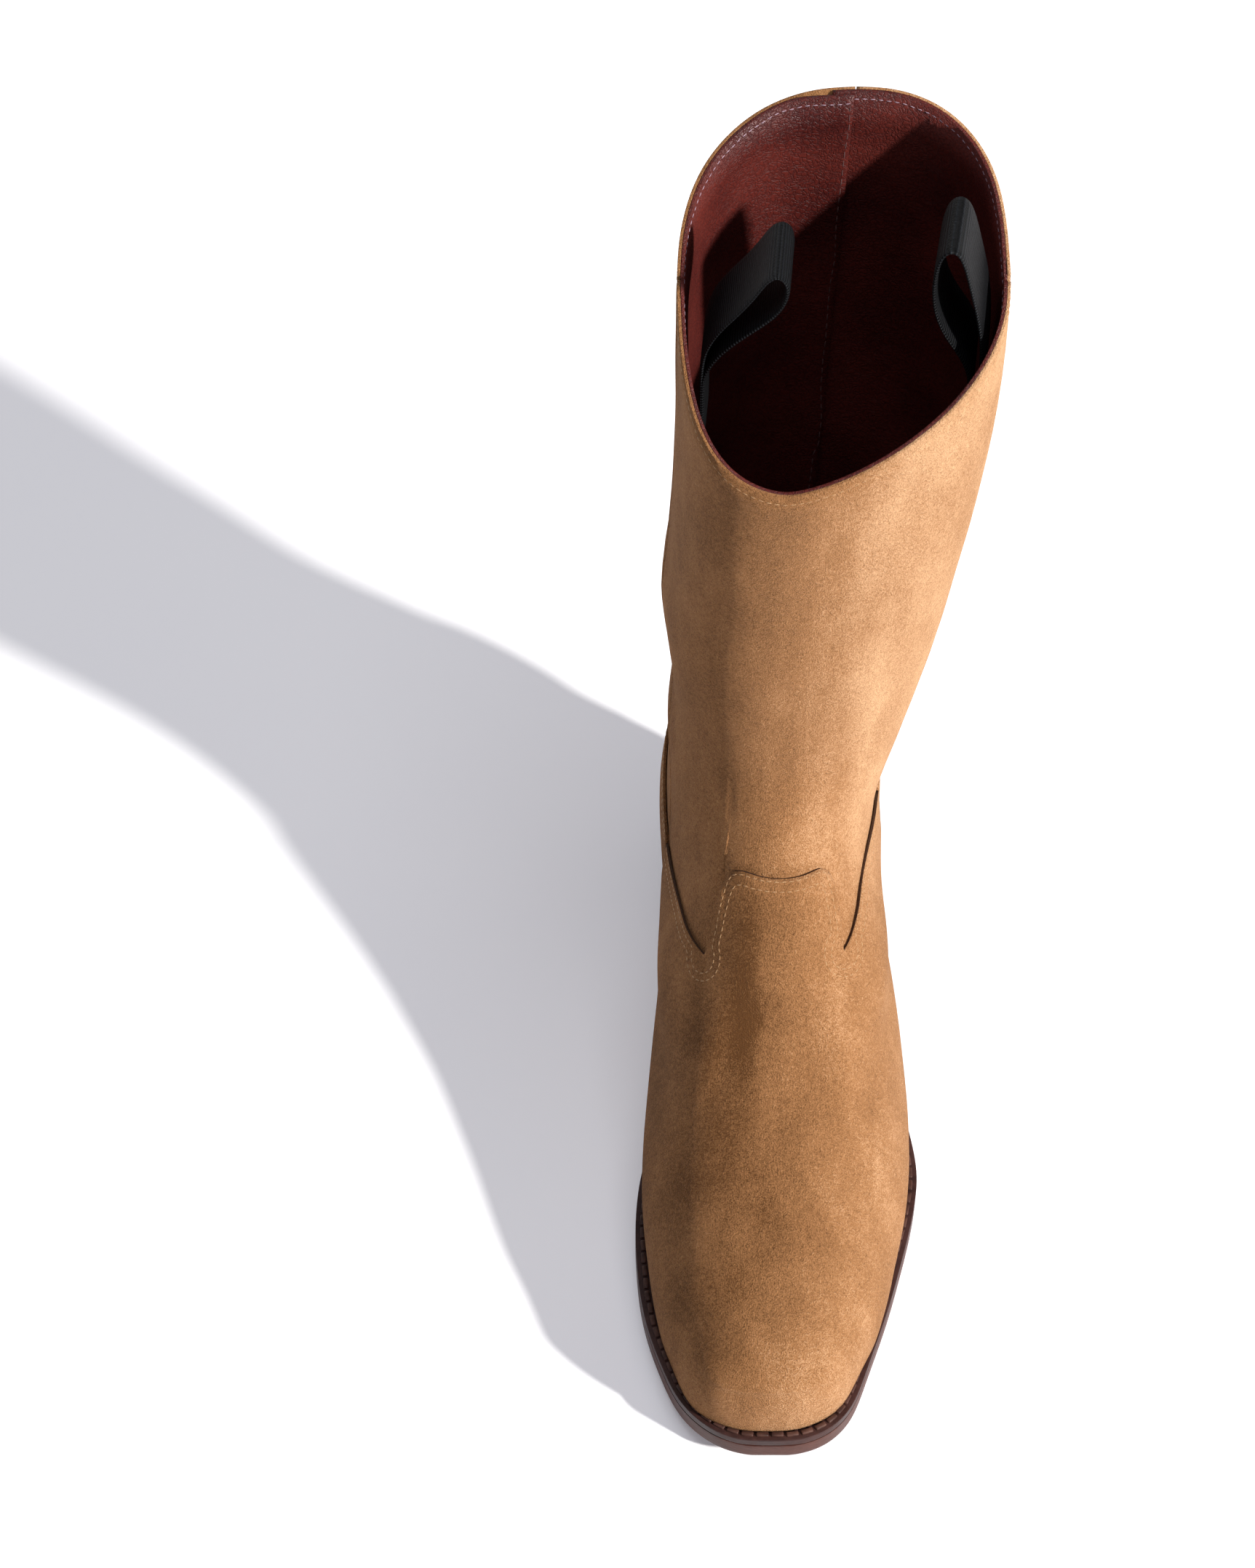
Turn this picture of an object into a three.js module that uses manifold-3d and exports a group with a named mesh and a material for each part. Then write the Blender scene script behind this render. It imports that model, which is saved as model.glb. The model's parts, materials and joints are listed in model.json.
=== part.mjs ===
// A pull-on western boot for the left foot: suede uppers on a welted leather sole with a stacked
// heel, a leather lining and two webbing pull straps. Millimetres, +Z up, toe towards -Y, outer
// side of the foot towards +X, origin on the floor under the heel's centre.
import * as THREE from 'three';
import { mergeVertices } from 'three/addons/utils/BufferGeometryUtils.js';
import Module from 'manifold-3d';

// ---- Driving dimensions ----
// Along the foot (Y)
const TOE_END = -242;          // front of the upper
const TOE_KNEE = TOE_END + 20; // where the square toe starts to round off
const BALL = -148;             // widest part of the foot
const WAIST = -80;             // narrowest part of the sole
const HEEL_BREAST = -18;       // front face of the heel
const HEEL_KNEE = 2;           // where the back of the heel starts to round
const HEEL_END = 40;           // back of the upper at the heel
// Across the foot (X, from the middle line)
const TOE_HALF = 28;
const BALL_MEDIAL = 48.3;
const BALL_LATERAL = 51;
const WAIST_HALF = 43;
const HEEL_HALF = 34;
const WELT_LEDGE_TOE = 4;      // how far the welt stands out past the upper
const WELT_LEDGE_SIDE = 1.6;
const SOLE_WAIST_HALF = 31.5;
const SOLE_HEEL_HALF = 34;
// Heights
const TOE_SPRING = 9;
const HEEL_HEIGHT = 42;        // floor to the underside of the outsole
const OUTSOLE = 6.5;
const WELT = 3.6;
const TOE_TOP = 51;
const BALL_TOP = 78;
const INSTEP_TOP = 117;
const ANKLE = 130;
const MID_SHAFT = 215;
const RIM_BACK = 368;
const RIM_DIP = 48;            // how much lower the rim is at the front
// Leather thicknesses and layer places, measured inwards from the outer face
const CLEARANCE = 0.4;
const LAYER_GAP = 0.7;         // between one leather and the next
const SUEDE = 1.6;
const LINING = 1.1;
const STIFFENER = 1.2;
const LAP = 13;                // width of the overlap between vamp and shaft
const LAP_STAND = 0.5;         // extra room between a lapped piece and the one under it
const SEAM_GAP = 2.4;          // from a side seam's line to the edge of each panel
const BEAD = 1.0;              // radius of the side seam's beading
const BED_GAP = 1;             // from the linings to the edge of the insole
const INSOLE = 2.6;
const SOCK = 1.2;
// Heel
const LIFTS = 5;
const TOP_LIFT = 6.5;
const HEEL_PITCH = 7;          // how far the heel's back leans forward at the floor
const HEEL_SIDE_TAPER = 2.2;
const NAIL = 1.0;
// Pull straps
const WEBBING = 1.5;
const STRAP_WIDTH = 25;
const STRAP_TAIL = 34;         // sewn length of the two tails
const STRAP_ROOT = 320;        // height where the loop leaves the sewn tails
const STRAP_GAP = 2.2;         // free length of webbing between the sewn tails and the loop
const STRAP_STAND = 1.1;       // from the lining to the tails
const STRAP_MIDDLE = -14;      // place of the strap along Y

const SUEDE_LEATHER = ['#b48a55', 0.95];
const BURGUNDY_LEATHER = ['#5a211a', 0.55];
const SOLE_LEATHER = ['#7a4636', 0.5];
const WELT_LEATHER = ['#3b1d18', 0.45];
const BOARD = ['#9a7b58', 0.9];
const CORK = ['#a5794d', 0.95];
const RUBBER = ['#2a2524', 0.8];
const STEEL = ['#a8aaac', 0.35, 1];
const WEBBING_BLACK = ['#131518', 0.85];

const wasm = await Module();
wasm.setup();
const boot = new THREE.Group();

// ---- Small tools ----
const ramp = (from, to, at) => THREE.MathUtils.smoothstep(at, from, to);
const spread = (from, to, count) =>
  Array.from({ length: count + 1 }, (_, i) => from + (to - from) * i / count);

// A smooth line through [place, value] points that never overshoots them.
function curve(points) {
  const last = points.length - 1;
  const pitch = spread(0, last - 1, last - 1).map((i) => (
    (points[i + 1][1] - points[i][1]) / (points[i + 1][0] - points[i][0])));
  const slope = points.map((_, i) => {
    if (i === 0 || i === last) return 0;
    const [before, after] = [pitch[i - 1], pitch[i]];
    return before * after <= 0 ? 0 : 2 * before * after / (before + after);
  });
  return (at) => {
    if (at <= points[0][0]) return points[0][1];
    if (at >= points[last][0]) return points[last][1];
    const i = points.findIndex((point) => point[0] > at) - 1;
    const width = points[i + 1][0] - points[i][0];
    const t = (at - points[i][0]) / width;
    const bend = (t - 2) * t * t;
    return points[i][1] + (points[i + 1][1] - points[i][1]) * t * t * (3 - 2 * t)
      + slope[i] * width * (bend + t) + slope[i + 1] * width * (bend + t * t);
  };
}

function add(name, geometry, [color, roughness, metalness = 0]) {
  const mesh = new THREE.Mesh(geometry, new THREE.MeshStandardMaterial({ color, roughness, metalness }));
  mesh.name = name;
  boot.add(mesh);
}

// A closed slab between two grids of points that face each other.
function slab(upper, lower) {
  const [rows, columns] = [upper.length, upper[0].length];
  const points = [...upper.flat(), ...lower.flat()];
  const at = (layer, i, j) => layer * rows * columns + i * columns + j;
  const faces = [];
  const quad = (a, b, c, d) => faces.push(a, b, c, a, c, d);
  for (let i = 0; i < rows - 1; i += 1) {
    for (let j = 0; j < columns - 1; j += 1) {
      quad(at(0, i, j), at(0, i + 1, j), at(0, i + 1, j + 1), at(0, i, j + 1));
      quad(at(1, i, j), at(1, i, j + 1), at(1, i + 1, j + 1), at(1, i + 1, j));
    }
    quad(at(0, i, 0), at(1, i, 0), at(1, i + 1, 0), at(0, i + 1, 0));
    quad(at(0, i + 1, columns - 1), at(1, i + 1, columns - 1), at(1, i, columns - 1), at(0, i, columns - 1));
  }
  for (let j = 0; j < columns - 1; j += 1) {
    quad(at(0, 0, j + 1), at(1, 0, j + 1), at(1, 0, j), at(0, 0, j));
    quad(at(0, rows - 1, j), at(1, rows - 1, j), at(1, rows - 1, j + 1), at(0, rows - 1, j + 1));
  }
  let volume = 0;
  for (let f = 0; f < faces.length; f += 3) {
    const [a, b, c] = [points[faces[f]], points[faces[f + 1]], points[faces[f + 2]]];
    volume += a.dot(b.clone().cross(c));
  }
  if (volume < 0) faces.reverse();
  const geometry = new THREE.BufferGeometry();
  geometry.setAttribute('position', new THREE.Float32BufferAttribute(points.flatMap((p) => p.toArray()), 3));
  geometry.setIndex(faces);
  geometry.computeVertexNormals();
  return geometry;
}

// ---- Shape of the sole ----
const soleUnder = curve([[TOE_END - 6, TOE_SPRING], [TOE_KNEE, TOE_SPRING * 0.5], [-195, 1],
  [BALL - 30, 0], [BALL + 28, 0], [-100, HEEL_HEIGHT * 0.083], [WAIST, HEEL_HEIGHT * 0.31],
  [-60, HEEL_HEIGHT * 0.595], [-42, HEEL_HEIGHT * 0.845], [-30, HEEL_HEIGHT * 0.96],
  [HEEL_BREAST - 2, HEEL_HEIGHT], [HEEL_END, HEEL_HEIGHT]]);
const outsoleTop = (y) => soleUnder(y) + OUTSOLE;
const weltUnder = (y) => outsoleTop(y) + CLEARANCE;
const weltTop = (y) => weltUnder(y) + WELT;
const seat = (y) => weltTop(y) + CLEARANCE + 0.2;      // what the uppers and the insole stand on

// ---- Outer face of the upper: a foot and a shaft, blended at the instep and the ankle ----
const footMedial = curve([[TOE_END, TOE_HALF + 1], [TOE_KNEE, TOE_HALF + 6.5], [-204, 41], [-184, 45],
  [BALL, BALL_MEDIAL], [-115, 46], [WAIST, WAIST_HALF - 1], [-40, 36.4], [HEEL_KNEE, HEEL_HALF]]);
const footLateral = curve([[TOE_END, TOE_HALF - 6], [TOE_KNEE, TOE_HALF + 0.5], [-204, 37.2], [-184, 43.2],
  [BALL + 8, BALL_LATERAL], [-100, 49.6], [WAIST, WAIST_HALF + 3], [-40, 38.6], [HEEL_KNEE, HEEL_HALF]]);
const footTop = curve([[TOE_END, TOE_TOP - 1], [TOE_KNEE, TOE_TOP], [-200, TOE_TOP + 7], [-170, 68],
  [BALL, BALL_TOP], [-122, 93], [-98, INSTEP_TOP], [-78, 132], [-40, 140], [HEEL_END, 140]]);
const tuck = curve([[TOE_END, 0.03], [BALL, 0.1], [-112, 0.16], [WAIST, 0.27], [-48, 0.2],
  [HEEL_BREAST, 0.08], [HEEL_END, 0.05]]);
const boxiness = curve([[TOE_END, 2.5], [TOE_KNEE, 2.45], [BALL, 2.2], [-100, 2]]);
const TUCK_TOP = 26;           // height above the sole where the side is widest
const shaftFront = curve([[60, 48], [100, 60], [140, 66], [185, 67.5], [250, 70], [320, 73.5], [368, 76]]);
const shaftBack = curve([[60, 28], [90, 36], [112, 37.5], [142, 35], [200, 40], [260, 51], [320, 56],
  [368, 58]]);
const shaftHalf = curve([[60, 29], [100, 33.2], [134, 40.2], [168, 44.8], [200, 48.4], [250, 51],
  [300, 52.4], [368, 52.8]]);
const shaftMiddle = curve([[80, 0], [100, 0.3], [134, 4.2], [168, 7.8], [200, 9.6], [250, 14],
  [300, 16.6], [368, 16.8]]);
const FRONT_LINE = -1.5;       // x of the shin's ridge
const BACK_LEAN = 5;           // how much further out the shaft's back line is than its middle
const BLEND = 22;

const noseShare = (y) => Math.max(0, (TOE_KNEE - y) / (TOE_KNEE - TOE_END)) ** 3;
const heelShare = (y) => Math.max(0, (y - HEEL_KNEE) / (HEEL_END - HEEL_KNEE)) ** 2.2;

function footField(x, y, z) {
  const middle = (footLateral(y) - footMedial(y)) / 2;
  const rise = Math.max(0, z - seat(y));
  const under = Math.max(0, 1 - rise / TUCK_TOP) ** 2;
  const half = (footLateral(y) + footMedial(y)) / 2 * (1 - tuck(y) * under);
  const power = boxiness(y);
  const height = rise / (footTop(y) - seat(y));
  const sum = (Math.abs(x - middle) / half) ** power + noseShare(y) + heelShare(y) + height ** power;
  return (sum ** (1 / power) - 1) * 36;
}

function shaftField(x, y, z) {
  const [front, back, half] = [shaftFront(z), shaftBack(z), shaftHalf(z)];
  const reach = (front + back) / 2;
  const along = (y - (back - front) / 2) / reach;
  const lean = along < 0 ? FRONT_LINE - shaftMiddle(z) : BACK_LEAN;
  const across = (x - shaftMiddle(z) - lean * along * along) / half;
  const power = along < 0 ? 2 : 2 + 0.35 * Math.min(1, along * 2);
  return ((Math.abs(across) ** power + Math.abs(along) ** power) ** (1 / power) - 1) * half;
}

function field(point) {
  const foot = footField(point.x, point.y, point.z);
  const shaft = shaftField(point.x, point.y, Math.max(60, point.z));
  const share = THREE.MathUtils.clamp(0.5 + (shaft - foot) / (2 * BLEND), 0, 1);
  return shaft + (foot - shaft) * share - BLEND * share * (1 - share);
}

function gradient(point) {
  const step = 0.05;
  return new THREE.Vector3(...['x', 'y', 'z'].map((axis) => {
    const ahead = point.clone();
    const behind = point.clone();
    ahead[axis] += step;
    behind[axis] -= step;
    return (field(ahead) - field(behind)) / (2 * step);
  }));
}

// ---- Columns run from the sole's edge up and over the foot to the rim. Column 0 is the front
// line, column SEAM the side seam and column 1 the back line; inner-side columns are negative. ----
const SEAM = 0.6;
const NOTCH_MEDIAL = 0.29;
const NOTCH_LATERAL = 0.24;
const SEAM_FOOT = -42;         // y of the side seam at the sole
const LEVELS = 4;              // 0 sole edge, 1 top of the wall, 2 ankle, 3 middle of the shaft, 4 rim

function footEdge(side) {
  const wide = side < 0 ? footMedial : footLateral;
  const middle = (y) => (footLateral(y) - footMedial(y)) / 2;
  const points = spread(0, Math.PI, 120).map((turn) => {
    const y = (TOE_END + HEEL_END) / 2 + (TOE_END - HEEL_END) / 2 * Math.cos(turn);
    const open = Math.max(0, 1 - noseShare(y) - heelShare(y)) ** (1 / boxiness(y));
    const half = (wide(y) - side * middle(y)) * (1 - tuck(y));
    return new THREE.Vector3(middle(y) + side * half * open, y, 0);
  });
  const lengths = [0];
  points.slice(1).forEach((point, i) => lengths.push(lengths[i] + point.distanceTo(points[i])));
  const seamAt = lengths[points.findIndex((point) => point.y > SEAM_FOOT)];
  return { points, lengths, seamAt };
}
const EDGE = { '-1': footEdge(-1), 1: footEdge(1) };

function edgePoint(column) {
  const { points, lengths, seamAt } = EDGE[column < 0 ? -1 : 1];
  const total = lengths[lengths.length - 1];
  const share = Math.abs(column);
  const length = share < SEAM ? seamAt * (share / SEAM) ** 1.2
    : seamAt + (total - seamAt) * (share - SEAM) / (1 - SEAM);
  const i = Math.max(1, lengths.findIndex((value) => value >= length - 1e-9));
  const t = (length - lengths[i - 1]) / (lengths[i] - lengths[i - 1]);
  return points[i - 1].clone().lerp(points[i], t);
}

const turnOf = (column) => {
  const share = Math.abs(column);
  return share < SEAM ? share / SEAM * Math.PI / 2 : (1 + (share - SEAM) / (1 - SEAM)) * Math.PI / 2;
};
const rimHeight = (column) => (
  RIM_BACK - RIM_DIP + RIM_DIP * ((1 - Math.cos(turnOf(column))) / 2) ** 0.7);

function ring(column, z, front) {
  const turn = turnOf(column);
  const back = shaftBack(z);
  const along = -Math.cos(turn);
  const lean = along < 0 ? FRONT_LINE - shaftMiddle(z) : BACK_LEAN;
  const x = shaftMiddle(z) + Math.sign(column) * shaftHalf(z) * Math.sin(turn) + lean * along * along;
  return new THREE.Vector3(x, (back - front) / 2 + (back + front) / 2 * along, z);
}

function guide(column, level) {
  const foot = edgePoint(column);
  const keys = [
    () => new THREE.Vector3(foot.x, foot.y, seat(foot.y)),
    () => {
      const along = THREE.MathUtils.clamp(foot.y, TOE_END + 5, HEEL_END - 1);
      const share = 0.8 - 0.57 * ramp(TOE_KNEE, WAIST, foot.y);
      const height = THREE.MathUtils.lerp(seat(foot.y), footTop(foot.y), share);
      return new THREE.Vector3(foot.x * 0.88, along, height);
    },
    () => ring(column, ANKLE, 84),
    () => ring(column, MID_SHAFT, shaftFront(MID_SHAFT)),
    () => ring(column, rimHeight(column), shaftFront(rimHeight(column))),
  ];
  const below = Math.min(LEVELS - 1, Math.floor(level));
  return keys[below]().lerp(keys[below + 1](), level - below);
}

// The point of the outer face at a column and a level, moved inwards by a depth.
const known = new Map();
function surface(columnAround, level) {
  const column = columnAround > 1 ? columnAround - 2 : columnAround;
  const key = `${column.toFixed(6)},${level.toFixed(6)}`;
  if (known.has(key)) return known.get(key);
  const point = guide(column, level);
  const upright = ramp(0, 1, level) * (1 - ramp(1.7, 2.3, level));
  for (let i = 0; i < 14; i += 1) {
    const slope = gradient(point);
    const along = new THREE.Vector3(slope.x, slope.y, slope.z * upright);
    point.addScaledVector(along, -field(point) / slope.dot(along));
    if (level === 0) point.z = seat(point.y);
  }
  const result = { point, out: gradient(point).normalize() };
  known.set(key, result);
  return result;
}
function layer(column, level, depth) {
  const { point, out } = surface(column, level);
  return point.clone().addScaledVector(out, -depth);
}

// The level at which a column reaches a height.
function levelAt(column, height) {
  let [low, high] = [0.6, LEVELS];
  for (let i = 0; i < 26; i += 1) {
    const middle = (low + high) / 2;
    if (surface(column, middle).point.z < height) low = middle;
    else high = middle;
  }
  return (low + high) / 2;
}
// A column moved sideways along the surface by a distance.
function beside(column, level, distance) {
  const step = 0.01;
  const span = surface(column - step, level).point.distanceTo(surface(column + step, level).point);
  return column + distance * 2 * step / span;
}

const FRONT_COLUMNS = [0, 0.05, 0.1, 0.14, 0.17, 0.195, 0.213, 0.226, NOTCH_LATERAL, 0.254, 0.27,
  NOTCH_MEDIAL, 0.33, 0.38, 0.44, 0.5, 0.55, SEAM];
const FRONT = [...FRONT_COLUMNS.slice(1).map((u) => -u).reverse(), ...FRONT_COLUMNS];
const BACK = spread(SEAM, 2 - SEAM, 16);

// A piece of leather. Its stops are the levels that its rows run between, each a number or a
// function of the column: row 0 lies on the first stop, row 1 on the second and so on.
function panel({ columns, stops, rows, depth, thick, startGap = SEAM_GAP, endGap = SEAM_GAP }) {
  const read = (value, at) => (typeof value === 'function' ? value(at) : value);
  const levelOf = (row, column) => {
    const span = Math.min(stops.length - 2, Math.floor(row));
    return THREE.MathUtils.lerp(read(stops[span], column), read(stops[span + 1], column), row - span);
  };
  const last = columns.length - 1;
  const outer = [];
  const inner = [];
  for (const row of rows) {
    const line = columns.map((column, j) => {
      const level = levelOf(row, column);
      if (j === 0) return [beside(column, level, startGap), level];
      return j === last ? [beside(column, level, -endGap), level] : [column, level];
    });
    outer.push(line.map(([column, level]) => layer(column, level, read(depth, [column, level]))));
    inner.push(line.map(([column, level]) => layer(column, level, read(depth, [column, level]) + thick)));
  }
  return slab(outer, inner);
}

// ---- Seam lines (heights over the columns) ----
const TONGUE_TOP = 129;
const NOTCH_LOW_MEDIAL = 99.5;
const NOTCH_LOW_LATERAL = 105.5;
const WING_END_MEDIAL = 85;
const WING_END_LATERAL = 107;
const TOP_MEDIAL = curve([[0, TONGUE_TOP], [0.1, TONGUE_TOP - 0.4], [0.14, TONGUE_TOP - 1.8],
  [0.17, TONGUE_TOP - 3.5], [0.195, TONGUE_TOP - 6], [0.213, TONGUE_TOP - 8.5], [0.226, TONGUE_TOP - 11.5],
  [0.24, TONGUE_TOP - 15.5], [0.254, 108], [0.27, 103], [NOTCH_MEDIAL, NOTCH_LOW_MEDIAL], [0.35, 97.8],
  [0.44, 93.5], [0.5, 90], [SEAM, WING_END_MEDIAL]]);
const TOP_LATERAL = curve([[0, TONGUE_TOP], [0.14, TONGUE_TOP - 0.6], [0.17, TONGUE_TOP - 1.6],
  [0.195, TONGUE_TOP - 3.4], [0.213, TONGUE_TOP - 7], [0.226, TONGUE_TOP - 14],
  [NOTCH_LATERAL, NOTCH_LOW_LATERAL], [0.33, 108.4], [0.44, 108.6], [SEAM, WING_END_LATERAL]]);
const vampTop = (column) => (column < 0 ? TOP_MEDIAL(-column) : TOP_LATERAL(column));
const LOW_MEDIAL = curve([[0, TONGUE_TOP - LAP - 7], [0.12, TONGUE_TOP - LAP - 11],
  [NOTCH_MEDIAL, NOTCH_LOW_MEDIAL - LAP], [SEAM, WING_END_MEDIAL - LAP + 1]]);
const LOW_LATERAL = curve([[0, TONGUE_TOP - LAP - 7], [0.12, TONGUE_TOP - LAP - 11],
  [NOTCH_LATERAL, NOTCH_LOW_LATERAL - LAP - 1], [SEAM, WING_END_LATERAL - LAP + 1]]);
const shaftLow = (column) => (column < 0 ? LOW_MEDIAL(-column) : LOW_LATERAL(column));
const vampMiddle = curve([[0, 84], [NOTCH_MEDIAL, 82], [SEAM, 75]]);      // for even rows
const COUNTER_TOP = 101;
const counterTop = curve([[SEAM, WING_END_LATERAL], [0.8, COUNTER_TOP + 3], [1, COUNTER_TOP],
  [1.2, COUNTER_TOP - 8], [2 - SEAM, WING_END_MEDIAL]]);
const LIFT = SUEDE + LAYER_GAP;
const shaftLining = SUEDE + LAYER_GAP;
const footLining = shaftLining + STIFFENER + LAYER_GAP;
const liningInside = footLining + LINING;

const mirrored = (line) => (column) => line(Math.abs(column));
const atHeight = (line, change = 0) => (column) => levelAt(column, line(column) + change);
// Stands a lapped edge off the piece under it.
const lapped = (under) => ([column, level]) => {
  const line = under(column);
  return -(LIFT + LAP_STAND) * ramp(line - 24, line - 6, surface(column, level).point.z);
};

// ---- Uppers ----
const vamp = { columns: FRONT, stops: [0, 1, atHeight(mirrored(vampMiddle)), atHeight(vampTop)],
  rows: [...spread(0, 1, 6), ...spread(1, 2, 7).slice(1), ...spread(2, 3, 5).slice(1)] };
const SHAFT_ROWS = [0, 0.03, 0.06, 0.09, 0.13, 0.18, 0.26, 0.35, 0.46, 0.58, 0.72, 0.86, 1];
const shaftFrontSpan = { columns: FRONT, stops: [atHeight(shaftLow), LEVELS], rows: SHAFT_ROWS };
const counterUnder = (column) => counterTop(column) - LAP;
const backSpan = { stops: [atHeight(counterUnder), LEVELS], rows: SHAFT_ROWS };
const BACK_LATERAL = BACK.filter((column) => column < 1.001);
const BACK_MEDIAL = BACK.filter((column) => column > 0.999);
const LINING_LAP = BACK_MEDIAL[1];
const counter = { columns: BACK, stops: [0, atHeight(counterTop)], rows: [0, 0.2, 0.4, 0.55, 0.7, 0.85, 1] };

function uppers() {
  add('vamp', panel({ ...vamp, depth: lapped(shaftLow), thick: SUEDE }), SUEDE_LEATHER);
  add('shaft_front', panel({ ...shaftFrontSpan, depth: 0, thick: SUEDE }), SUEDE_LEATHER);
  add('shaft_back_lateral', panel({ ...backSpan, columns: BACK_LATERAL, depth: 0, thick: SUEDE,
    endGap: CLEARANCE / 2 }), SUEDE_LEATHER);
  add('shaft_back_medial', panel({ ...backSpan, columns: BACK_MEDIAL, depth: 0, thick: SUEDE,
    startGap: CLEARANCE / 2 }), SUEDE_LEATHER);
  add('counter_cover', panel({ ...counter, depth: lapped(counterUnder), thick: SUEDE }), SUEDE_LEATHER);
}

function sideBeading(name, column) {
  const points = spread(0.03, LEVELS, 30).map((level) => layer(column, level, SUEDE - BEAD));
  const circle = new THREE.Shape();
  circle.absarc(0, 0, BEAD, 0, 2 * Math.PI);
  add(name, new THREE.ExtrudeGeometry(circle, {
    steps: 26, curveSegments: 3, bevelEnabled: false, extrudePath: new THREE.CatmullRomCurve3(points),
  }), SUEDE_LEATHER);
}

// ---- Stiffeners and linings ----
function stiffeners() {
  const toe = FRONT.filter((column) => Math.abs(column) <= NOTCH_LATERAL);
  add('toe_puff', panel({ ...vamp, columns: toe, rows: vamp.rows.filter((row) => row < 1.4),
    depth: shaftLining, thick: STIFFENER, startGap: 0, endGap: 0 }), BOARD);
  add('heel_stiffener', panel({ ...counter, rows: counter.rows.slice(0, -3), depth: shaftLining,
    thick: STIFFENER, startGap: 6, endGap: 6 }), BOARD);
}

function linings() {
  const foot = { depth: footLining, thick: LINING, startGap: CLEARANCE, endGap: CLEARANCE };
  add('vamp_lining', panel({ ...vamp, ...foot }), BURGUNDY_LEATHER);
  // It passes behind the lapped seam of the shaft's lining, so it stands further in there.
  const over = LINING + LAYER_GAP;
  const behindLap = ([column, level]) =>
    footLining + over * (1 - ramp(0.05, 0.1, Math.abs(column - LINING_LAP)))
    * ramp(72, 84, surface(column, level).point.z);
  add('heel_lining', panel({ ...counter, ...foot, depth: behindLap }), BURGUNDY_LEATHER);
  const shaft = { depth: shaftLining, thick: LINING, startGap: CLEARANCE, endGap: CLEARANCE };
  add('shaft_lining_front', panel({ ...shaftFrontSpan, ...shaft }), BURGUNDY_LEATHER);
  // The outer side's piece crosses the back line, and the inner side's piece lies over it.
  add('shaft_lining_back_lateral', panel({ ...backSpan, ...shaft, endGap: 3,
    columns: [...BACK_LATERAL, LINING_LAP] }), BURGUNDY_LEATHER);
  add('shaft_lining_back_medial', panel({ ...backSpan, ...shaft, columns: BACK_MEDIAL,
    depth: ([column]) => shaftLining + over * (1 - ramp(LINING_LAP, LINING_LAP + 0.05, column)) }),
  BURGUNDY_LEATHER);
}

// ---- Sole ----
const SOLE_TIP = TOE_END - WELT_LEDGE_TOE;
const SOLE_BACK = HEEL_END + 2;
const soleMedial = curve([[SOLE_TIP, TOE_HALF], [TOE_KNEE, TOE_HALF + 8.6], [-195, 45.2], [-176, 48],
  [BALL - 5, BALL_MEDIAL + WELT_LEDGE_SIDE - 1], [-122, 44], [WAIST - 15, 34.5],
  [WAIST + 10, SOLE_WAIST_HALF], [HEEL_BREAST, SOLE_HEEL_HALF - 0.5], [HEEL_KNEE, SOLE_HEEL_HALF]]);
const soleLateral = curve([[SOLE_TIP, TOE_HALF - 4], [TOE_KNEE, TOE_HALF + 2], [-195, 39], [-176, 44.6],
  [BALL + 14, BALL_LATERAL + WELT_LEDGE_SIDE + 0.6], [-105, 48.5], [WAIST, 38], [-55, SOLE_WAIST_HALF + 3],
  [HEEL_BREAST, SOLE_HEEL_HALF], [HEEL_KNEE, SOLE_HEEL_HALF]]);

function soleX(side, y, inset = 0) {
  const toe = Math.max(0, (TOE_KNEE - y) / (TOE_KNEE - SOLE_TIP - inset)) ** 3;
  const heel = Math.max(0, (y - HEEL_KNEE) / (SOLE_BACK - inset - HEEL_KNEE)) ** 2.2;
  const open = Math.max(0, 1 - toe - heel) ** (1 / 2.4);
  const middle = (soleLateral(y) - soleMedial(y)) / 2;
  return middle + side * ((soleLateral(y) + soleMedial(y)) / 2 - inset) * open;
}

// Rows across the sole, closer together where its outline or its height bends.
const SOLE_ROWS = [
  ...[4, 8, 14, 22].map((step) => SOLE_TIP + step),
  ...spread(SOLE_TIP + 34, BALL + 8, 5),
  ...spread(BALL + 16, WAIST - 20, 4),
  ...spread(WAIST - 12, HEEL_BREAST - 2, 8),
  ...[-10, HEEL_KNEE, 12],
  ...[22, 15, 9, 5].map((step) => SOLE_BACK - step),
];
const rowsBetween = (from, to) => {
  const [near, far] = [Math.sign(to - from) * 1.2, Math.sign(to - from) * 3];
  const rows = to > from ? SOLE_ROWS : [...SOLE_ROWS].reverse();
  const inside = (y) => (y - from - far) * (to - far - y) > 0;
  return [from, from + near, ...rows.filter(inside), to - near, to];
};

// A plate whose rows cross the foot from one edge to the other.
function plate(from, to, columns, edge, under, over) {
  const grid = (height) => rowsBetween(from, to).map((y) => (
    spread(edge(-1, y), edge(1, y), columns).map((x) => new THREE.Vector3(x, y, height(y)))));
  return slab(grid(over), grid(under));
}

// A plate that fills the room inside the linings: its rows join their columns in pairs.
function bed(room, bottom, thick) {
  const waist = [0.41, 0.47, 0.525, 0.575, 0.62, 0.635];
  const pairs = [...FRONT_COLUMNS.slice(1), ...waist, ...BACK_LATERAL.slice(1, -1)].sort((a, b) => a - b);
  const grid = (rise) => pairs.map((column) => {
    const [left, right] = [-column, column].map((one) => layer(one, 0, room));
    return spread(0, 1, 6).map((share) => {
      const point = left.clone().lerp(right, share);
      return point.setZ(seat(point.y) + rise);
    });
  });
  return slab(grid(bottom + thick), grid(bottom));
}

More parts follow.
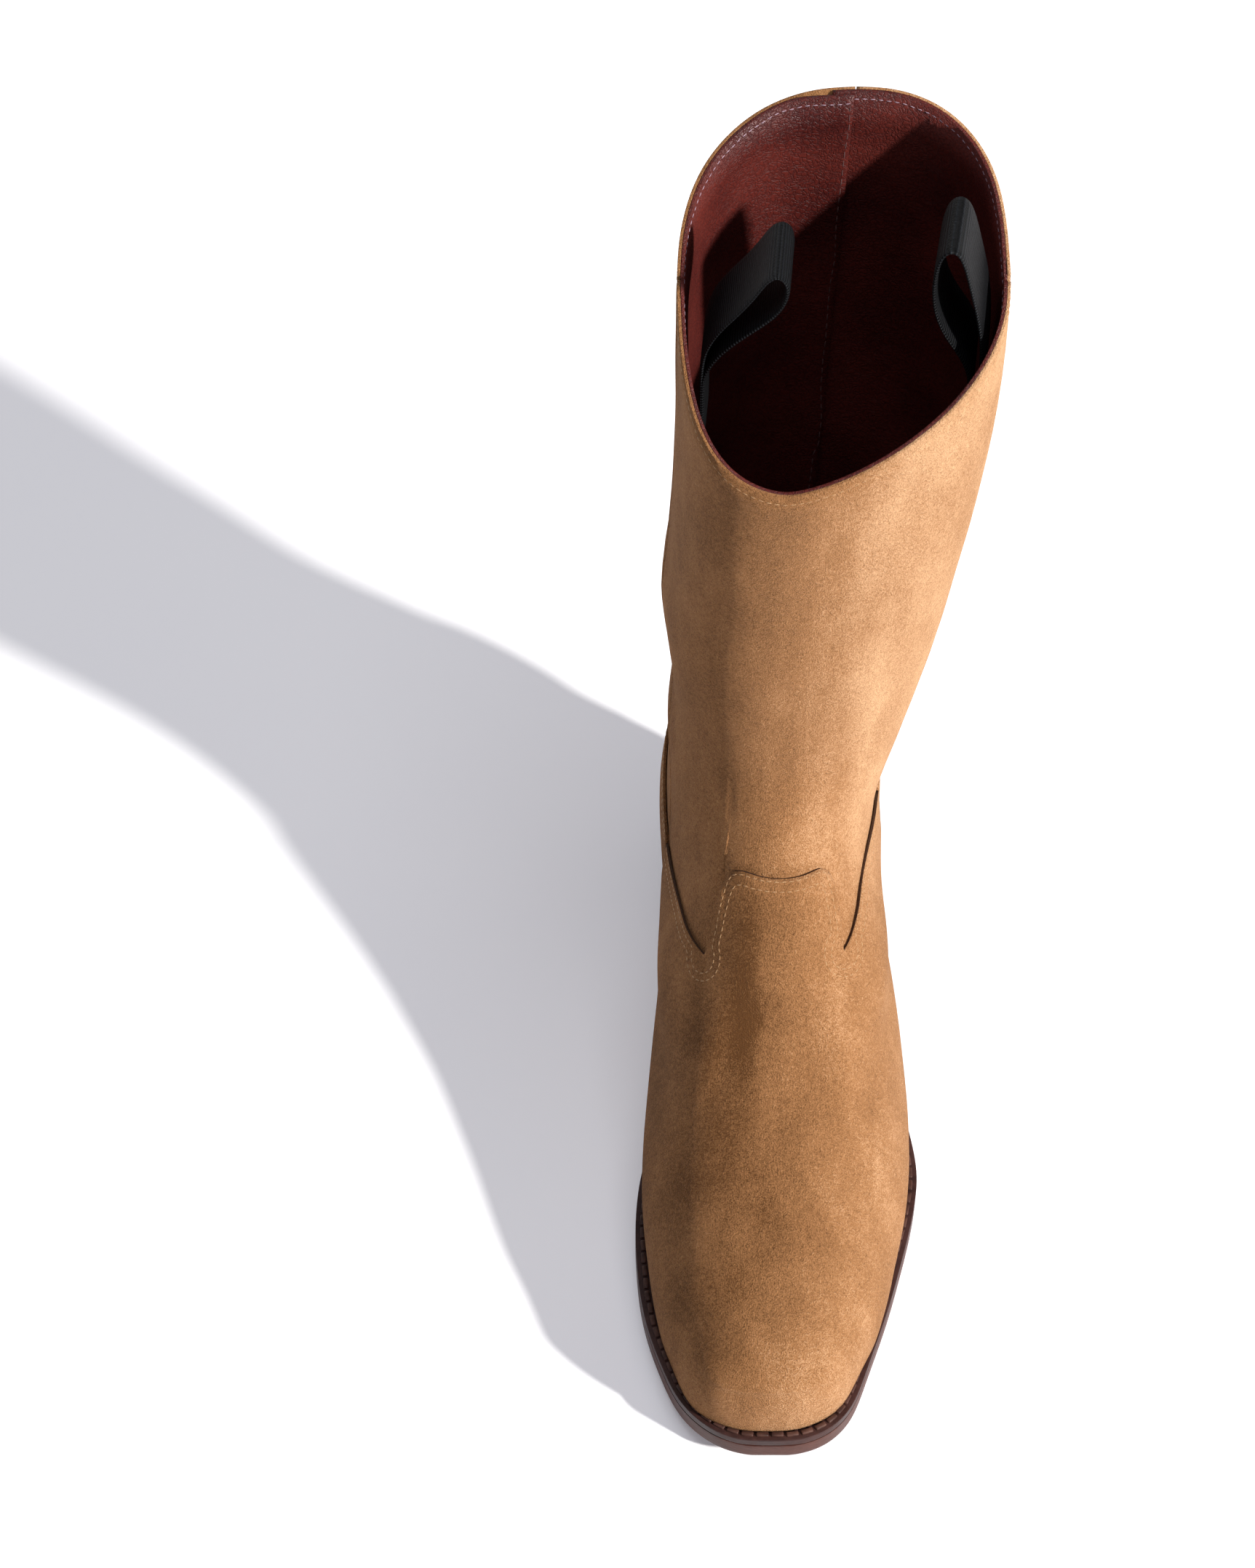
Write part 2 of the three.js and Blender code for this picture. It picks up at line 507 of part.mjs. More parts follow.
function nail(x, y, radius) {
  const [bottom, top] = [TOP_LIFT + 4, seat(y) + INSOLE];
  const pin = new THREE.CylinderGeometry(radius, radius, top - bottom, 6);
  pin.rotateX(Math.PI / 2);
  pin.translate(x, y, (bottom + top) / 2);
  return pin;
}
const NAIL_PLACES = [[-17, 4], [17, 4], [-12, 21], [12, 21], [0, 28]];

function solid(geometry) {
  const bare = geometry.clone();
  bare.deleteAttribute('normal');
  bare.deleteAttribute('uv');
  const merged = mergeVertices(bare, 1e-4);
  return new wasm.Manifold(new wasm.Mesh({
    numProp: 3,
    vertProperties: new Float32Array(merged.attributes.position.array),
    triVerts: new Uint32Array(merged.index.array),
  }));
}
function unsolid(body) {
  const mesh = body.getMesh();
  const geometry = new THREE.BufferGeometry();
  geometry.setAttribute('position', new THREE.Float32BufferAttribute(mesh.vertProperties, 3));
  geometry.setIndex([...mesh.triVerts]);
  geometry.computeVertexNormals();
  return geometry;
}
function drilled(geometry) {
  const holes = NAIL_PLACES.map(([x, y]) => solid(nail(x, y, NAIL + CLEARANCE)));
  return unsolid(holes.reduce((body, hole) => body.subtract(hole), solid(geometry)));
}

function footBed() {
  const room = liningInside + BED_GAP;
  add('insole', drilled(bed(room, 0, INSOLE)), BOARD);
  add('sock_lining', bed(room, INSOLE + CLEARANCE, SOCK), BURGUNDY_LEATHER);
}

const WELT_INNER = 9;
function soleParts() {
  const edge = (inset) => (side, y) => soleX(side, y, inset);
  add('outsole', drilled(plate(SOLE_TIP + 0.4, SOLE_BACK - 0.4, 6, edge(0), soleUnder, outsoleTop)),
    SOLE_LEATHER);
  const inset = WELT_INNER + 1.4;
  add('cork_filler', plate(SOLE_TIP + inset + 1, WAIST - 30, 4, edge(inset), weltUnder, weltTop), CORK);
  add('shank', plate(WAIST - 26, HEEL_BREAST + 14, 1, (side) => side * 7, (y) => weltUnder(y) + 0.6,
    (y) => weltUnder(y) + 2.6), STEEL);
  add('heel_seat_filler', drilled(plate(HEEL_BREAST + 16, SOLE_BACK - inset - 1, 4, edge(inset),
    weltUnder, weltTop)), BOARD);
}

// Points of the sole's edge from one end on the inner side, round the toe or the heel, to the other.
function rail(from, tip) {
  const side = (sign) => rowsBetween(from, tip).map((y) => new THREE.Vector2(soleX(sign, y), y));
  return [...side(-1), ...side(1).reverse()];
}
function band(points, width) {
  const pair = points.map((point, i) => {
    const before = points[Math.max(0, i - 1)];
    const after = points[Math.min(points.length - 1, i + 1)];
    const along = after.clone().sub(before).normalize();
    const inwards = new THREE.Vector2(-along.y, along.x);
    if (inwards.dot(new THREE.Vector2(0, (points[0].y + points[points.length >> 1].y) / 2).sub(point)) < 0) {
      inwards.negate();
    }
    return [point, point.clone().addScaledVector(inwards, width)];
  });
  const grid = (height) => pair.map((two) => two.map((p) => new THREE.Vector3(p.x, p.y, height(p.y))));
  return slab(grid(weltTop), grid(weltUnder));
}
function welts() {
  add('welt', band(rail(HEEL_BREAST - 4, SOLE_TIP + 0.4), WELT_INNER), WELT_LEATHER);
  add('heel_rand', band(rail(HEEL_BREAST - 3, SOLE_BACK - 0.4), WELT_INNER), WELT_LEATHER);
}

function heel() {
  const lift = (HEEL_HEIGHT - CLEARANCE - TOP_LIFT) / LIFTS;
  const piece = (bottom, top) => {
    const drop = 1 - (bottom + top) / 2 / HEEL_HEIGHT;
    const edge = (side, y) => {
      const stretched = HEEL_KNEE + (y - HEEL_KNEE) * (y > HEEL_KNEE
        ? (SOLE_BACK - HEEL_KNEE) / (SOLE_BACK - HEEL_PITCH * drop - HEEL_KNEE) : 1);
      return soleX(side, stretched) - side * HEEL_SIDE_TAPER * drop;
    };
    return plate(HEEL_BREAST + 3 * drop, SOLE_BACK - HEEL_PITCH * drop - 0.6, 2, edge, () => bottom,
      () => top);
  };
  add('top_lift', piece(0, TOP_LIFT), RUBBER);
  for (let i = 0; i < LIFTS; i += 1) {
    const bottom = TOP_LIFT + CLEARANCE + i * lift;
    add(`heel_lift_${i + 1}`, drilled(piece(bottom, bottom + lift - CLEARANCE)), SOLE_LEATHER);
  }
  NAIL_PLACES.forEach(([x, y], i) => add(`heel_nail_${i + 1}`, nail(x, y, NAIL), STEEL));
}

// ---- Pull straps ----
function strapAnchor(name, side) {
  const middle = SEAM * side;
  const columns = spread(-1, 1, 4).map((share) => beside(middle, 3.7, share * STRAP_WIDTH / 2));
  const tail = (height) => (column) => levelAt(column, height);
  add(name, panel({ columns, stops: [tail(STRAP_ROOT - STRAP_TAIL), tail(STRAP_ROOT)], rows: spread(0, 1, 4),
    depth: shaftLining + LINING + STRAP_STAND, thick: 2 * WEBBING, startGap: 0, endGap: 0 }), WEBBING_BLACK);
}

// The loop's path across the boot (x, z), from the leg by the wall over the fold to the inner leg.
// The yaw turns the loop's far end outwards, along the wall.
function strapLoop(name, path, yaw) {
  const line = new THREE.SplineCurve(path.map(([x, z]) => new THREE.Vector2(x, z))).getPoints(26);
  const face = (offset) => line.map((point, i) => {
    const along = line[Math.min(line.length - 1, i + 1)].clone().sub(line[Math.max(0, i - 1)]).normalize();
    return new THREE.Vector2(point.x - along.y * offset, point.y + along.x * offset);
  });
  const outline = new THREE.Shape([...face(WEBBING / 2), ...face(-WEBBING / 2).reverse()]);
  const loop = new THREE.ExtrudeGeometry(outline, { depth: STRAP_WIDTH, bevelEnabled: false });
  const root = (path[0][0] + path[path.length - 1][0]) / 2;
  loop.rotateX(Math.PI / 2);
  loop.translate(-root, STRAP_WIDTH / 2, 0);
  loop.rotateZ(-THREE.MathUtils.degToRad(yaw));
  loop.translate(root, STRAP_MIDDLE, 0);
  add(name, loop, WEBBING_BLACK);
}

function pullStraps() {
  const foot = STRAP_ROOT + STRAP_GAP;
  strapAnchor('strap_anchor_medial', -1);
  strapAnchor('strap_anchor_lateral', 1);
  strapLoop('pull_strap_medial', [[-27.8, foot], [-27.6, foot + 13], [-24, foot + 28], [-17, foot + 41],
    [-9, foot + 48.5], [-2.5, foot + 49.5], [0.6, foot + 44], [-1, foot + 36], [-6, foot + 29],
    [-15, foot + 21], [-22.5, foot + 11], [-25.8, foot]], 5);
  strapLoop('pull_strap_lateral', [[61.9, foot], [61.6, foot + 16], [60.4, foot + 31], [58.2, foot + 44],
    [55.6, foot + 53], [51.4, foot + 56.5], [47.2, foot + 51], [45.6, foot + 40], [46.6, foot + 29],
    [51.4, foot + 18], [57.6, foot + 9], [59.9, foot]], 9);
}

uppers();
sideBeading('side_beading_medial', -SEAM);
sideBeading('side_beading_lateral', SEAM);
stiffeners();
linings();
footBed();
soleParts();
welts();
heel();
pullStraps();

export default boot;
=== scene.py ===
import json
import math

import bmesh
import bpy
import numpy as np
from mathutils import Matrix, Vector, noise
from mathutils.kdtree import KDTree


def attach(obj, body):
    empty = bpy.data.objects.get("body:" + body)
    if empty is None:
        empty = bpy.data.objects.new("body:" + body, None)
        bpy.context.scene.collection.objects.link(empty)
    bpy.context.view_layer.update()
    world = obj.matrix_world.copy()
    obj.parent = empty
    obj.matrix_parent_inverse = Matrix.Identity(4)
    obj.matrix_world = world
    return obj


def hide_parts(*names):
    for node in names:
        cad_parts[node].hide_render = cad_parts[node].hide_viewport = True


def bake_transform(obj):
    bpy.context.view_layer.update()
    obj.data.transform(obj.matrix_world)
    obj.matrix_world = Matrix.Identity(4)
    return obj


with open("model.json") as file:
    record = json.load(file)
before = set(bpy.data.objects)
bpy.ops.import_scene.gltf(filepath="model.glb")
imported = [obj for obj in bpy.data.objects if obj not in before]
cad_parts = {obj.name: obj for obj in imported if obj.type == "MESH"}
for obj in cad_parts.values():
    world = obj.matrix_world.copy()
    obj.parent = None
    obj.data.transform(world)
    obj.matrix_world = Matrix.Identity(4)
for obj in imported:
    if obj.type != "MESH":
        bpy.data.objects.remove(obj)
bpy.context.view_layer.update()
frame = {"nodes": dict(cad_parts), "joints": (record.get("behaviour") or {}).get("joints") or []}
scene = bpy.context.scene


# ---- Camera ----
# It stands in front of the toe, about 1.4 m above the floor, and looks down into the shaft. A long
# lens keeps the boot's proportions.
camera = bpy.data.objects.new("camera", bpy.data.cameras.new("camera"))
camera.data.sensor_width = 36
camera.data.lens = 99.7
camera.data.clip_start = 0.05
camera.location = (-0.0515, -0.9422, 1.3635)
camera.rotation_euler = (math.radians(36), 0, 0)
scene.collection.objects.link(camera)
scene.camera = camera
scene.view_settings.view_transform = "Standard"


# ---- Light ----
# A hard key lamp from the front right, a pale soft box overhead, and a weak lamp behind for the far
# sides. A dim, pale sky fills the rest.
def lamp(name, kind, power, toward, at=(0, 0, 2), **settings):
    light = bpy.data.lights.new(name, kind)
    light.energy = power
    for setting, value in settings.items():
        setattr(light, setting, value)
    holder = bpy.data.objects.new(name, light)
    holder.location = at
    holder.rotation_euler = Vector(toward).to_track_quat("-Z", "Y").to_euler()
    scene.collection.objects.link(holder)


lamp("key", "SUN", 5.6, (-0.78, 0.49, -0.56), angle=math.radians(3), color=(1, 0.97, 0.94))
lamp("overhead", "AREA", 19, (0, 0, -1), at=(0.1, -0.2, 2.4), size=1.4, color=(0.92, 0.93, 1))
lamp("behind", "AREA", 9, (0.5, -1, -0.25), at=(-0.9, 1.9, 0.8), size=1.2, color=(1, 0.97, 0.94))
scene.world = bpy.data.worlds.new("studio")
scene.world.use_nodes = True
scene.world.node_tree.nodes["Background"].inputs["Color"].default_value = (0.86, 0.9, 1, 1)
scene.world.node_tree.nodes["Background"].inputs["Strength"].default_value = 0.13


# ---- Floor ----
# A sheet of matt white board, so large that its edge stays out of view. It glows weakly, so that the
# boot's shadow on it stays pale.
class Signal:
    """A value in a material. Arithmetic on it adds Math nodes."""

    def __init__(self, finish, socket):
        self.finish = finish
        self.socket = socket

    def combine(self, operation, first, second):
        return self.finish.node("ShaderNodeMath", {"operation": operation}, {0: first, 1: second})

    def __add__(self, other):
        return self.combine("ADD", self, other)

    def __radd__(self, other):
        return self.combine("ADD", other, self)

    def __sub__(self, other):
        return self.combine("SUBTRACT", self, other)

    def __rsub__(self, other):
        return self.combine("SUBTRACT", other, self)

    def __mul__(self, other):
        return self.combine("MULTIPLY", self, other)

    def __rmul__(self, other):
        return self.combine("MULTIPLY", other, self)

    def __abs__(self):
        return self.finish.node("ShaderNodeMath", {"operation": "ABSOLUTE"}, {0: self})


class Finish:
    """A material with one Principled shader, and the nodes that feed it."""

    def __init__(self, name, **uniform):
        self.material = bpy.data.materials.new(name)
        self.material.use_nodes = True
        self.tree = self.material.node_tree
        self.shader = self.tree.nodes["Principled BSDF"]
        for socket, value in uniform.items():
            self.shader.inputs[socket.replace("_", " ")].default_value = value
        self.place = self.node("ShaderNodeTexCoord", {}, {}, "Object")

    def node(self, kind, settings, inputs, out=0):
        node = self.tree.nodes.new(kind)
        for key, value in settings.items():
            if key == "stops":
                ramp = node.color_ramp
                while len(ramp.elements) < len(value):
                    ramp.elements.new(0.5)
                for stop, (at, shade) in zip(ramp.elements, value):
                    stop.position = at
                    stop.color = (*shade, 1) if hasattr(shade, "__len__") else (shade, shade, shade, 1)
            else:
                setattr(node, key, value)
        for key, value in inputs.items():
            if isinstance(value, Signal):
                self.tree.links.new(value.socket, node.inputs[key])
            else:
                node.inputs[key].default_value = value
        return Signal(self, node.outputs[out])

    def noise(self, size, detail=2, stretch=(1, 1, 1), rough=0.5):
        """Soft noise whose lumps are about size metres across."""
        place = self.node("ShaderNodeMapping", {}, {"Vector": self.place, "Scale": stretch})
        return self.node("ShaderNodeTexNoise", {}, {
            "Vector": place, "Scale": 1 / size, "Detail": detail, "Roughness": rough})

    def tone(self, value, stops):
        return self.node("ShaderNodeValToRGB", {"stops": stops}, {"Fac": value}, "Color")

    def fade(self, value, low, high, start=0, end=1):
        """start where the value is low, end where it is high, and a smooth step between."""
        return self.node("ShaderNodeMapRange", {"interpolation_type": "SMOOTHSTEP"}, {
            "Value": value, "From Min": low, "From Max": high, "To Min": start, "To Max": end})

    def blend(self, share, first, second):
        return self.node("ShaderNodeMix", {"data_type": "RGBA"}, {0: share, 6: first, 7: second}, 2)

    def bump(self, height, depth, strength=1.0, after=None):
        inputs = {"Height": height, "Distance": depth, "Strength": strength}
        if after:
            inputs["Normal"] = after
        return self.node("ShaderNodeBump", {}, inputs)

    def feed(self, **sockets):
        for socket, value in sockets.items():
            self.tree.links.new(value.socket, self.shader.inputs[socket.replace("_", " ")])
        return self.material


def flat(shade):
    return (*shade, 1)


def white_board():
    board = Finish("white_board", Roughness=0.9, Specular_IOR_Level=0.15, Emission_Strength=0.2,
                   Emission_Color=flat((0.94, 0.92, 1)))
    mottle = board.noise(0.2, detail=3)
    return board.feed(Base_Color=board.tone(mottle, [(0.3, (0.87, 0.87, 0.88)), (0.7, (0.9, 0.9, 0.9))]))


floor_shape = bmesh.new()
bmesh.ops.create_grid(floor_shape, x_segments=1, y_segments=1, size=30)
floor_mesh = bpy.data.meshes.new("floor")
floor_shape.to_mesh(floor_mesh)
floor = bpy.data.objects.new("floor", floor_mesh)
floor_mesh.materials.append(white_board())
scene.collection.objects.link(floor)


# ---- Vamp ----
# One suede piece over the toes and the instep, lasted down to the welt. Its wavy tongue and its two
# wings lie over the shaft and are held by two rows of thread. The raw edges are coloured dark brown.
# The darkest and palest stops serve the nap's own tones and also painted shade and painted light.
SUEDE_DARK_AND_SHADED = (0.12, 0.05, 0.016)
SUEDE_MID = (0.36, 0.17, 0.068)
SUEDE_PALE_AND_LIT = (0.72, 0.43, 0.235)


def suede():
    nap = Finish("suede", Roughness=0.95, Specular_IOR_Level=0.1, Sheen_Weight=0.12,
                 Sheen_Roughness=0.4, Sheen_Tint=flat((1, 0.72, 0.5)))
    fibres = nap.noise(0.0005, detail=2, rough=0.7)
    tufts = nap.noise(0.0014, detail=2, rough=0.6)
    brushed = nap.noise(0.022, detail=4, stretch=(1.5, 1, 0.5), rough=0.6)
    clouds = nap.noise(0.06, detail=3)
    across, along, height = (nap.node("ShaderNodeSeparateXYZ", {}, {0: nap.place}, axis) for axis in "XYZ")
    # A streak of painted shade runs down from the tongue on the inner side of the instep's ridge, weaker up
    # the shaft.
    painted_shade_streak = nap.fade(abs(across + 0.0155 + along * 0.03 + (brushed - 0.5) * 0.012), 0.0005, 0.009, 1, 0)
    painted_shade_reach = nap.fade(abs(along + 0.112), 0.012, 0.04, 0.2, 0)
    # Painted light and shade: paler on the outer side, which the key lamp lights, up the shaft and towards
    # the toe, and darker on the inner side, which is in shade.
    painted_toe_light = nap.fade(along, -0.242, -0.21, 0.14, 0)
    side = nap.fade(across - height * 0.05, -0.03, 0.032)
    shaft = nap.fade(height + along * 0.5, 0.03, 0.11)
    painted_light_and_shade = side * 0.2 + shaft * side * 0.16 + shaft * 0.06 + painted_toe_light - 0.24
    tone = (fibres * 0.8 + tufts * 0.35 + brushed * 0.45 + clouds * 0.3 - 0.45 + painted_light_and_shade
            - painted_shade_streak * painted_shade_reach * (1 - shaft * 0.6))
    colour = nap.tone(tone, [(0.12, SUEDE_DARK_AND_SHADED), (0.5, SUEDE_MID), (0.88, SUEDE_PALE_AND_LIT)])
    pile = nap.bump(fibres, 0.001, 0.9, after=nap.bump(tufts, 0.0009, 0.5))
    return nap.feed(Base_Color=colour, Normal=pile)


def cut_edge():
    edge = Finish("cut_edge", Roughness=0.85, Specular_IOR_Level=0.2)
    fibres = edge.noise(0.0006, detail=3, rough=0.7)
    colour = edge.tone(fibres, [(0.3, (0.025, 0.011, 0.006)), (0.75, (0.085, 0.04, 0.02))])
    return edge.feed(Base_Color=colour, Normal=edge.bump(fibres, 0.0005, 0.8))


def opened(node):
    """A copy of a CAD piece, merged and in four-sided faces."""
    shape = bmesh.new()
    shape.from_mesh(frame["nodes"][node].data)
    bmesh.ops.remove_doubles(shape, verts=shape.verts, dist=1e-6)
    bmesh.ops.join_triangles(shape, faces=shape.faces, angle_face_threshold=0.7, angle_shape_threshold=3.1)
    return shape


SHARP = 0.8     # radians between the faces at a sharp edge


def skins(shape):
    """The faces of a leather piece: its outer side, its inner side and its cut edges."""
    regions, seen = [], set()
    for first in shape.faces:
        if first in seen:
            continue
        region, waiting = [], [first]
        seen.add(first)
        while waiting:
            face = waiting.pop()
            region.append(face)
            for edge in face.edges:
                if edge.calc_face_angle(0) < SHARP:
                    fresh = [other for other in edge.link_faces if other not in seen]
                    seen.update(fresh)
                    waiting.extend(fresh)
        regions.append(region)
    regions.sort(key=lambda region: -sum(face.calc_area() for face in region))
    middle = sum((vert.co for vert in shape.verts), Vector()) / len(shape.verts)

    def outwards(region):
        return sum(face.calc_area() * face.normal.dot(face.calc_center_median() - middle) for face in region)
    outer, inner = sorted(regions[:2], key=outwards, reverse=True)
    return outer, inner, [face for region in regions[2:] for face in region]


# The ankle's soft folds on each side, from the top: how far out, at what height, how tall.
INNER_FOLDS = [(0.0016, 0.205, 0.016), (-0.0020, 0.165, 0.013), (0.0012, 0.132, 0.012)]
OUTER_FOLDS = [(0.0012, 0.19, 0.014), (-0.0018, 0.155, 0.012)]


def bell(value, middle, spread):
    return math.exp(-((value - middle) / spread) ** 2)


def slack(co):
    """Soft folds round the ankle and waves down the shaft. Every layer takes them alike."""
    height = co.z
    middle = Vector((0.0042 + 0.0126 * min(1, max(0, (height - 0.13) / 0.17)), 0.0, height))
    out = Vector((co.x - middle.x, co.y - middle.y, 0))
    turn = math.atan2(out.x, -out.y)
    shaft = min(1, max(0, (height - 0.105) / 0.05)) * min(1, max(0, (0.355 - height) / 0.06))
    folds = bell(turn, -1.7, 0.8) * sum(out_by * bell(height, at, tall) for out_by, at, tall in INNER_FOLDS)
    folds += bell(turn, 1.9, 0.7) * sum(out_by * bell(height, at, tall) for out_by, at, tall in OUTER_FOLDS)
    waves = 0.0011 * noise.noise(Vector((turn * 1.3, height * 9, 3.1)))
    instep = 0.0005 * noise.noise(co * 30) * min(1, max(0, (height - 0.02) / 0.04))
    return out.normalized() * ((folds + waves) * shaft + instep)


def creased(shape):
    """Tells Subdivision to keep the sharp edges."""
    crease = shape.edges.layers.float.new("crease_edge")
    for edge in shape.edges:
        if edge.calc_face_angle(0) > SHARP:
            edge[crease] = 1


def rounded(piece, levels):
    """The piece's mesh after Subdivision."""
    rounding = piece.modifiers.new("rounding", "SUBSURF")
    rounding.levels = rounding.render_levels = levels
    graph = bpy.context.evaluated_depsgraph_get()
    graph.update()
    mesh = bpy.data.meshes.new_from_object(piece.evaluated_get(graph))
    piece.modifiers.clear()
    return mesh


def points_of(mesh):
    places = np.empty(len(mesh.vertices) * 3, np.float32)
    mesh.vertices.foreach_get("co", places)
    return places.reshape(-1, 3)


def finished(shape, name, body, materials, levels=2, move=None, keep=None):
    """Rounds a shape with Subdivision, bends it, and puts it on its body. keep(vert) says how
    closely the rounded surface has to pass through a corner of the shape, from 0 to 1."""
    mesh = bpy.data.meshes.new(name)
    for material in materials:
        mesh.materials.append(material)
    shape.to_mesh(mesh)
    piece = bpy.data.objects.new(name, mesh)
    scene.collection.objects.link(piece)
    if levels:
        if keep:
            wanted = points_of(mesh)
            share = np.array([[keep(vert)] for vert in shape.verts])
            for _ in range(3):
                reached = points_of(rounded(piece, 1))[:len(wanted)]
                mesh.vertices.foreach_set("co", (points_of(mesh) + (wanted - reached) * share).ravel())
                mesh.update()
        piece.data = rounded(piece, levels)
        piece.data.name = name
    if move:
        for vert in piece.data.vertices:
            vert.co += move(vert.co)
    piece.data.shade_smooth()
    if body:
        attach(piece, body)
    return piece


FACE_SKIN, EDGE_SKIN, BACK_SKIN = 0, 1, 2
borders = {}        # each leather piece's outline: pairs of points with the cut edge's normal
TOE_CAP = -0.205    # in front of this y the leather keeps the toe's exact shape
LASTED = 0.03       # and over this length behind it, less and less


def lasted(vert):
    """Leather keeps its cut outline and the shape of the toe, and is rounder elsewhere."""
    if any(edge.calc_face_angle(0) > SHARP for edge in vert.link_edges):
        return 1
    return max(0.4, min(1, (TOE_CAP + LASTED - vert.co.y) / LASTED))


SEAM_ROOM = 0.0013      # from a panel's edge at a side seam to the beading
SEAM_OUT = 0.027        # edges this far from the middle are at a side seam


def drawn_together(edges):
    """Pulls the panels' edges at the side seams up to the beading."""
    moved = set()
    for face in edges:
        if abs(face.normal.y) > 0.75 and abs(face.calc_center_median().x) > SEAM_OUT:
            for vert in set(face.verts) - moved:
                vert.co += face.normal * SEAM_ROOM
                moved.add(vert)


def pressed(faces, way, amount):
    """Moves a side of a piece along its normals, by amount(place)."""
    moves = {}
    for face in faces:
        for vert in face.verts:
            moves[vert] = moves.get(vert, Vector()) + face.normal * way
    for vert, toward in moves.items():
        vert.co += toward.normalized() * amount(vert.co)


def leather_piece(node, slot, materials, plump=0.0, inside=False, plain_edge=None, levels=2, lap=None):
    """A panel of leather made on its CAD piece. plump thickens it towards the next layer, inside
    says that its inner side is the one that shows, and lap says where it is pressed onto another."""
    shape = opened(node)
    outer, inner, edges = skins(shape)
    shown, hidden = (inner, outer) if inside else (outer, inner)
    for faces, skin in ((shown, FACE_SKIN), (edges, EDGE_SKIN), (hidden, BACK_SKIN)):
        for face in faces:
            face.material_index = skin
    cut, show = set(edges), set(shown)
    borders[node] = [([vert.co + slack(vert.co) for vert in edge.verts], wall.normal.copy())
                     for wall in cut for edge in wall.edges if show.intersection(edge.link_faces)]
    if plain_edge:
        for face in edges:
            if plain_edge(face):
                face.material_index = BACK_SKIN
    if slot == "suede":
        drawn_together(edges)
    if lap:
        lap(shown, hidden, edges)
    pressed(hidden, 1, lambda place: plump)
    creased(shape)
    piece = finished(shape, "leather_" + node, "boot", materials, levels, slack, lasted)
    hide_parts(node)
    return piece


suede_finish = suede()
edge_finish = cut_edge()
SUEDE_SKINS = [suede_finish, edge_finish, suede_finish]
TONGUE_MIDDLE = -0.0015
TONGUE_HALF = 0.026


def tongue_side(face):
    """The skived edges down the tongue's sides, which stay the colour of the suede."""
    middle = face.calc_center_median()
    away = math.copysign(1, middle.x - TONGUE_MIDDLE)
    return abs(middle.x - TONGUE_MIDDLE) < TONGUE_HALF and face.normal.x * away > 0.6


LAP_PRESS = 0.0009                  # how far a lapped edge is pressed down
LAP_NEAR, LAP_FAR = 0.004, 0.02     # from the edge: fully pressed, and no longer pressed
SKIVE = 0.0006                      # how much thinner its edge is pared


def lapped(shown, hidden, edges):
    """Presses a lapped piece down, fully at its upper edge, and thins that edge."""
    tops = [vert.co.copy() for face in edges if face.normal.z > 0.25 for vert in face.verts]
    tree = KDTree(len(tops))
    for i, point in enumerate(tops):
        tree.insert(point, i)
    tree.balance()

    def press(place):
        away = tree.find(place)[2]
        return LAP_PRESS * min(1, max(0, (LAP_FAR - away) / (LAP_FAR - LAP_NEAR)))
    pressed(hidden, 1, press)
    pressed(shown, -1, lambda place: press(place) + SKIVE * (tree.find(place)[2] < LAP_NEAR))


vamp = leather_piece("vamp", "suede", SUEDE_SKINS, plain_edge=tongue_side, lap=lapped)


# ---- Shaft ----
# A front panel and two back panels of the same suede. The back panels are joined by a turned seam,
# and a narrow beading is let in between front and back at each side.
SHAFT_SKINS = [suede_finish, suede_finish, suede_finish]
RIM_THIN = 0.0012
RIM_BREAK = -0.012                  # the y at which the top line's slope changes
RIM_HEIGHT = 0.3482                 # the top line's height there
RIM_RISE, RIM_DIP = 0.34, 0.46      # its slope behind that and in front of it
RIM_NEAR, RIM_FADE = 0.004, 0.03    # below it: how far in full, and how far it fades after that


def rim_share(place):
    """1 at the top line, and 0 from some way below it."""
    behind = place.y - RIM_BREAK
    rim = RIM_HEIGHT + (RIM_RISE if behind > 0 else RIM_DIP) * behind
    return min(1, max(0, 1 - (rim - RIM_NEAR - place.z) / RIM_FADE))


def thin_rim(shown, hidden, edges):
    """Thins the suede towards the top line."""
    pressed(hidden, -1, lambda place: RIM_THIN * rim_share(place))


shaft_front = leather_piece("shaft_front", "suede", SHAFT_SKINS, plump=0.0006, lap=thin_rim)
back_panels = [leather_piece("shaft_back_" + side, "suede", SHAFT_SKINS, plump=0.0006, lap=thin_rim)
               for side in ("medial", "lateral")]
for side in ("medial", "lateral"):
    beading = finished(opened("side_beading_" + side), "beading_" + side, "boot",
                       [suede_finish], levels=1, move=slack)
    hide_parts("side_beading_" + side)


# ---- Counter cover ----
# A suede piece round the heel, lasted under with the vamp. Its top edge lies over the shaft and is
# held by two rows of thread.
counter = leather_piece("counter_cover", "suede", SHAFT_SKINS, lap=lapped)


# ---- Linings ----
# Thin burgundy calf, glued to the suede and sewn to it along the top line. The shaft has a front
# piece and two back pieces, which lap at the centre back, and the foot has one in front, one behind.
LINING_DARK = (0.04, 0.005, 0.0045)
LINING_LIGHT = (0.12, 0.015, 0.009)


